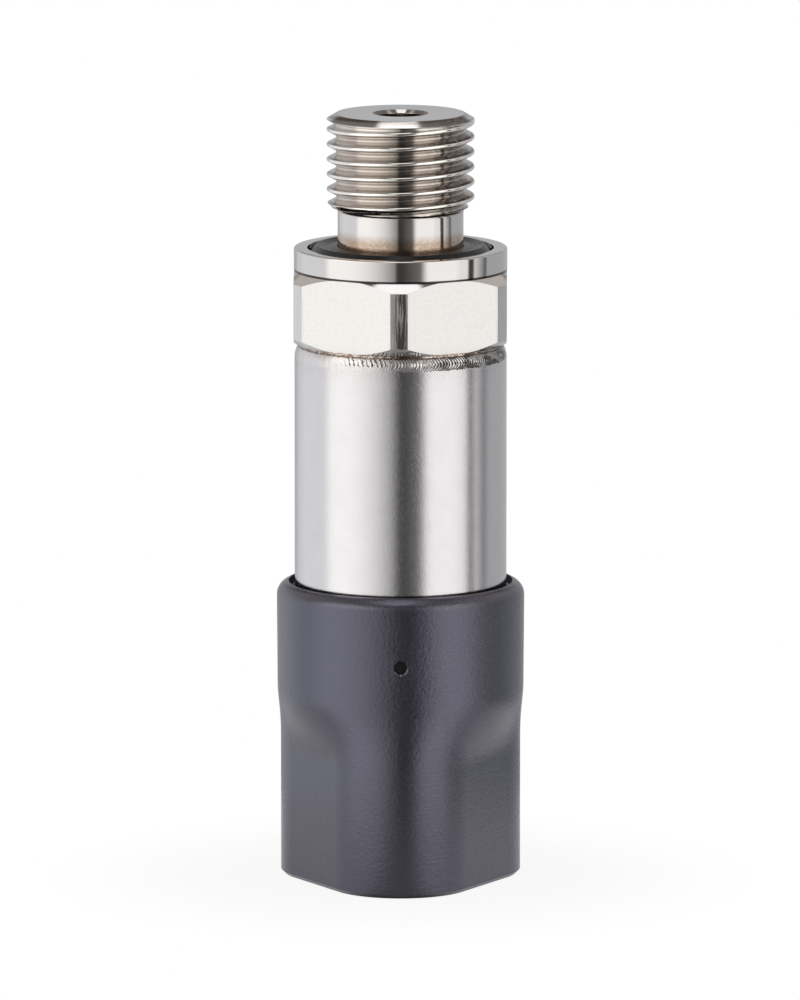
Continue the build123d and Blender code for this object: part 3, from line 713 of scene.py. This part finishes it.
def piece_from(mesh, name, slot, *replaced):
    """Piece of the transmitter that is shown in place of a packed one."""
    bmesh.ops.remove_doubles(mesh, verts=mesh.verts, dist=merge_distance)
    bmesh.ops.dissolve_degenerate(mesh, edges=mesh.edges, dist=merge_distance)
    piece = object_from(mesh, name)
    smooth(piece.data)
    piece.data.materials.append(finishes[slot])
    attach(piece, "root")
    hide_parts(*replaced)
    return piece


def thread_depth_at(rise):
    """How far the thread's surface lies below its crest, a share of a turn above it."""
    along = abs(rise - round(rise)) * thread_pitch
    rounding_edge = thread_rounding * cos(thread_flank)
    if along < rounding_edge:
        return thread_rounding - sqrt(thread_rounding**2 - along**2)
    from_root = thread_pitch / 2 - along
    if from_root < rounding_edge:
        return thread_depth - thread_rounding + sqrt(thread_rounding**2 - from_root**2)
    return thread_depth / 2 + (along - thread_pitch / 4) / tan(thread_flank)


def thread_limit(height):
    """Radius that the end chamfer and the run-out cut the thread down to."""
    if height > runout_head:
        return thread_radius - thread_chamfer_width * ramp_up(height, chamfer_foot, thread_top)
    flare = runout_radius - neck_radius
    if height < runout_foot + flare:
        rise = min(max(height - runout_foot, 0), flare)
        return neck_radius + flare - sqrt(flare**2 - rise**2)
    return runout_radius + (thread_radius - runout_radius) * ramp_up(height, runout_foot + flare, runout_head)


def thread_point(row, share):
    """Point of the thread's surface, so many rows above the run-out and a share of a turn round."""
    row_rise = thread_pitch / thread_rows_per_turn
    climb = row / thread_rows_per_turn + share
    height = min(max(runout_foot + climb * thread_pitch, runout_foot), thread_top)
    if abs(height - chamfer_foot) < row_rise / 2:
        height = chamfer_foot
    rise = (height - right_crest_height) / thread_pitch - share
    run_in = 1 - ramp_up(height, chamfer_foot - thread_start_height, chamfer_foot)
    radius = min(thread_radius - thread_depth_at(rise) * run_in, thread_limit(height))
    return on_circle(radius, 2 * pi * share, height)


def thread_surface(mesh):
    """Grid whose rows climb with the thread, held flat at both ends."""
    turns = (thread_top - runout_foot) / thread_pitch
    rows = range(-thread_rows_per_turn, int(turns * thread_rows_per_turn) + 2)
    shares = [column / turn_segments for column in range(turn_segments)]
    columns = [[mesh.verts.new(thread_point(row, share)) for row in rows] for share in shares]
    for column, line in enumerate(columns):
        last = column == turn_segments - 1
        beside = columns[0] if last else columns[column + 1]
        lift = thread_rows_per_turn if last else 0
        for row in range(len(line) - 1):
            if row + lift + 1 < len(beside):
                corners = (line[row], beside[row + lift], beside[row + lift + 1], line[row + 1])
                mesh.faces.new(corners)


def hexagon_cutter():
    """Ring that takes the blank down to the hexagon's six flats."""
    mesh = bmesh.new()
    corners = [pi / 6 + k * pi / 3 + hexagon_turn for k in range(6)]
    levels = []
    for height in (hexagon_foot, hexagon_head):
        for radius in (hexagon_apothem / cos(pi / 6), cutter_radius):
            levels.append([mesh.verts.new(on_circle(radius, corner, height)) for corner in corners])
    inner_low, outer_low, inner_high, outer_high = levels
    for k in range(6):
        after = (k + 1) % 6
        mesh.faces.new((inner_low[after], inner_low[k], inner_high[k], inner_high[after]))
        mesh.faces.new((outer_low[k], outer_low[after], outer_high[after], outer_high[k]))
        mesh.faces.new((inner_low[k], inner_low[after], outer_low[after], outer_low[k]))
        mesh.faces.new((inner_high[after], inner_high[k], outer_high[k], outer_high[after]))
    return object_from(mesh, "hexagon_cutter")


def fitting_outline():
    """Fitting below its thread and inside its port, from the run-out down and back up to the end face."""
    return rounded_outline([
        (neck_radius, runout_foot, 0),
        (neck_radius, seal_floor, 0.2),
        (seal_groove_radius, seal_floor, edge_break),
        (seal_groove_radius, collar_top, 0.05),
        (collar_radius, collar_top, collar_edge),
        (collar_radius, hexagon_head, 0),
        (corner_radius, hexagon_head - hexagon_bevel, edge_break),
        (corner_radius, hexagon_foot + hexagon_bevel, edge_break),
        (hexagon_apothem, hexagon_foot, edge_break),
        (weld_groove_radius, hexagon_foot, 0.05),
        (weld_groove_radius, seam_head, 0),
        (root_radius, seam_middle, 0),
        (spigot_radius, seam_middle, 0),
        (spigot_radius, spigot_end + edge_break, edge_break),
        (recess_radius, spigot_end, edge_break),
        (recess_radius, recess_floor, edge_break),
        (stub_radius, recess_floor, edge_break),
        (stub_radius, stub_end, edge_break),
        (bore_radius, stub_end, edge_break),
        (bore_radius, port_floor - (port_radius - bore_radius), edge_break),
        (port_radius, port_floor, edge_break),
        (port_radius, thread_top - port_bevel, 0.05),
        (port_radius + port_bevel, thread_top, 0.06),
        (thread_radius - thread_chamfer_width, thread_top, 0),
    ])


def mill_flats(fitting):
    """Cuts the hexagon's flats and keeps their edges sharp."""
    cutter = hexagon_cutter()
    cut = fitting.modifiers.new("flats", "BOOLEAN")
    cut.operation = "DIFFERENCE"
    cut.solver = "EXACT"
    cut.object = cutter
    bpy.context.view_layer.update()
    evaluated = fitting.evaluated_get(bpy.context.evaluated_depsgraph_get())
    shaped = bpy.data.meshes.new_from_object(evaluated)
    fitting.modifiers.clear()
    fitting.data = shaped
    bpy.data.objects.remove(cutter)
    smooth(shaped)
    flat_edges = set()
    for face in shaped.polygons:
        if face.area > least_flat_area * mm**2 and abs(face.normal.z) < 0.1:
            flat_edges.update(face.edge_keys)
    for edge in shaped.edges:
        edge.use_edge_sharp = edge.use_edge_sharp or edge.key in flat_edges


def make_fitting():
    """Fitting in one piece: end face, port, thread, neck, groove, collar, hexagon and spigot."""
    mesh = bmesh.new()
    lathe(mesh, fitting_outline())
    thread_surface(mesh)
    fitting = piece_from(mesh, "threaded_fitting", "fitting_steel", "process_connection")
    mill_flats(fitting)


def ripple_height(angle, uneven):
    """Height of the weld's ripples, which grows towards the end of the weld at the front right."""
    heading = (angle + pi / 2 + pi) % (2 * pi) - pi
    from_end = heading - weld_end
    strong = max(0, cos(from_end * ripple_fade)) ** 2 if abs(from_end) < weld_end_reach else 0
    return ripple_depth * (0.22 + 0.78 * strong) * (1 + uneven * 0.6)


def make_seam():
    """Weld bead with fish-scale ripples and an uneven foot."""
    mesh = bmesh.new()
    count = columns_per_ripple * ripple_count
    rings = []
    for column in range(count):
        angle = 2 * pi * column / count
        uneven = sin(angle * 37) * sin(angle * 11.3) * 0.5
        wander = -seam_wander * (1 + sin(angle * 53 + 1) * sin(angle * 19))
        ring = []
        for row in range(seam_rows + 1):
            across = row / seam_rows
            phase = (column / columns_per_ripple + ripple_bow * (across - 0.5) ** 2 + uneven * 0.7) % 1
            ridge = (1 - phase) ** 1.5 * sin(pi * min(max(across, 0.03), 0.97)) ** 0.4
            radius = tube_radius + (weld_groove_radius - tube_radius) * across + seam_stand
            radius += seam_bulge * sin(pi * across) + ripple_height(angle, uneven) * ridge
            height = seam_foot + (seam_head - seam_foot) * across + wander * (1 - across)
            ring.append(mesh.verts.new(on_circle(radius, angle, height)))
        ring.append(mesh.verts.new(on_circle(root_radius, angle, seam_middle)))
        rings.append(ring)
    for column, ring in enumerate(rings):
        beside = rings[(column + 1) % count]
        for row in range(len(ring)):
            after = (row + 1) % len(ring)
            mesh.faces.new((ring[row], beside[row], beside[after], ring[after]))
    piece_from(mesh, "weld_bead", "weld_steel", "weld_seam")


def make_seal():
    """Profile ring with a rounded lip and a shallow valley inside it."""
    mesh = bmesh.new()
    inner = neck_radius + seal_neck_gap
    middle = (seal_floor + seal_top) / 2
    section = rounded_outline([
        (inner, middle, 0),
        (inner, seal_floor, 0.1),
        (seal_radius, seal_floor, 0.1),
        (seal_radius, seal_top - seal_shoulder_drop, 0.15),
        (seal_lip_radius, seal_top, 0.14),
        ((seal_lip_radius + inner) / 2, seal_top - seal_valley_drop, 0.6),
        (inner, seal_top - seal_inner_drop, 0.15),
        (inner, middle, 0),
    ])
    lathe(mesh, section[:-1], closed=True)
    piece_from(mesh, "profile_ring", "seal_rubber", "profile_seal")


# Studio: a small pale table, soft boxes to both sides and above, and a dark gap behind the camera

def side_light(heading, y, z):
    """Light round about, by heading in degrees: soft boxes, the walls beyond them and a faint glow."""
    left_edge = heading.step(-92, -81)
    falling = heading.ramp(-66, 2)
    left_box = left_edge * (1 - falling * falling) * (1 - heading.step(-6.5, -3))
    right_edge = 1 - heading.step(77.4, 79.0)
    right_box = heading.step(20, 31) * (1 - heading.step(61, 69) * 0.15) * right_edge
    glow = heading.ramp(2, 19) * right_edge
    slit = heading.step(84.8, 87.4) * (1 - heading.ramp(88, 106))
    left_wall = (1 - left_edge) * (0.86 + heading.step(-141, -127) * 0.14)
    right_wall = heading.step(104.5, 107.5)
    behind = y.step(0.8, 0.93)
    boxes = (left_box * left_box_level + right_box * right_box_level) * (1 - z.step(0.6, 0.72))
    walls = left_wall * left_wall_level + right_wall * right_wall_level + slit * slit_level
    round_about = walls * (1 - behind) + behind * back_level + glow * glow_level
    on_walls = 1 - left_edge + right_wall
    return boxes, round_about, on_walls


def studio_recipe(bench):
    """Light by direction: how bright the room is at each heading, and what the camera sees."""
    x, y, z = bench.axes(bench.node("ShaderNodeTexCoord", {}, {}, "Generated"))
    boxes, round_about, on_walls = side_light(bench.heading(x, y) * (180 / pi), y, z)
    rise = (z * z + 0.02).math("SQRT")
    above = z.step(0.25, 0.4)
    top_box = (x / rise).band(-0.22, 0.17, 0.03) * (y / rise).band(-0.6, 0.5, 0.03) * above
    aside = (x * x).step(0.14, 0.17)
    overhead = (ceiling_level + aside * aside_level) * (1 - top_box) + top_box * top_box_level
    level = gap_level + boxes + round_about * (1 - above) + overhead * above
    tone = bench.tint(on_walls, front_tone, side_tone)
    tone = bench.tint(above * (1 - top_box), tone, ceiling_tone)
    room = bench.node("ShaderNodeBackground", {}, {"Color": tone, "Strength": level})
    backdrop = bench.node("ShaderNodeBackground", {}, {"Color": white, "Strength": 1.0})
    return bench.blend(bench.seen_by_camera(), room, backdrop)


def make_room():
    world = bpy.data.worlds.new("studio")
    world.use_nodes = True
    bench = Bench(world.node_tree)
    bench.node("ShaderNodeOutputWorld", {}, {0: studio_recipe(bench)})
    bpy.context.scene.world = world


def table_finish():
    """Table that looks white with a faint shadow, and dimmer in front where the part mirrors it."""
    material = bpy.data.materials.new("pale_table")
    material.use_nodes = True
    bench = Bench(material.node_tree)
    turn, distance, _ = bench.round_place()
    seen = bench.seen_by_camera()
    laid = bench.node("ShaderNodeBsdfDiffuse", {}, {"Color": table_colour})
    bright = bench.node("ShaderNodeEmission", {}, {"Color": white, "Strength": 1.0})
    dim = bench.node("ShaderNodeEmission", {}, {"Color": table_shade, "Strength": 1.0})
    glowing = bench.blend(turn.band(-0.06, 0.05, 0.03) * (1 - seen), bright, dim)
    plain = 0.9 + distance.step(14, 34) * 0.1
    share = seen * (plain - table_glow) + table_glow
    bench.node("ShaderNodeOutputMaterial", {}, {0: bench.blend(share, laid, glowing)})
    return material


def make_table():
    mesh = bmesh.new()
    bmesh.ops.create_circle(mesh, cap_ends=True, segments=table_sides, radius=table_radius)
    data = bpy.data.meshes.new("table")
    mesh.to_mesh(data)
    mesh.free()
    data.materials.append(table_finish())
    table = bpy.data.objects.new("table", data)
    table.location.z = cad_low.z - table_gap
    bpy.context.scene.collection.objects.link(table)


def make_camera():
    camera = bpy.data.objects.new("camera", bpy.data.cameras.new("camera"))
    camera.data.sensor_width = 36
    camera.data.lens = camera_lens
    camera.data.clip_start = 0.05
    camera.data.clip_end = 20
    camera.location = camera_place
    camera.rotation_euler = (pi / 2 - camera_dip, 0, 0)
    bpy.context.scene.collection.objects.link(camera)
    bpy.context.scene.camera = camera


# Finishes by the record's slots
finishes = {
    "fitting_steel": finish("turned_steel", fitting_recipe),
    "case_steel": finish("ground_steel", case_recipe),
    "weld_steel": finish("weld_metal", seam_recipe),
    "sensor_steel": finish("sensor_steel", sensor_steel_recipe),
    "seal_rubber": finish("black_rubber", rubber_recipe),
    "housing_plastic": finish("grained_housing", housing_recipe),
    "carrier_plastic": finish("carrier_plastic", moulded_recipe(carrier_dark, carrier_light, 0.38)),
    "contact_brass": finish("plated_contact", plated_recipe(contact_dark, contact_light)),
    "membrane_felt": finish("membrane_felt", felt_recipe),
    "board_laminate": finish("board_laminate", board_recipe),
    "flex_film": finish("flex_film", film_recipe(flex_dark, flex_light)),
    "gauge_film": finish("gauge_film", film_recipe(gauge_dark, gauge_light)),
    "bond_metal": finish("bond_metal", plated_recipe(bond_dark, bond_light)),
    "chip_plastic": finish("chip_plastic", moulded_recipe(chip_dark, chip_light, 0.42)),
    "chip_ceramic": finish("chip_ceramic", ceramic_recipe),
    "sleeve_plastic": finish("sleeve_plastic", moulded_recipe(sleeve_dark, sleeve_light, 0.4)),
    "spring_bronze": finish("spring_bronze", plated_recipe(bronze_dark, bronze_light, 0.26)),
    "potting_resin": finish("potting_resin", potting_recipe),
}
for part in frame["record"]["subparts"]:
    node = nodes[part["node"]]
    node.data.materials.clear()
    node.data.materials.append(finishes[part["material_slot"]])

make_fitting()
make_seam()
make_seal()
make_room()
make_table()
make_camera()
bpy.context.scene.view_settings.view_transform = "Standard"
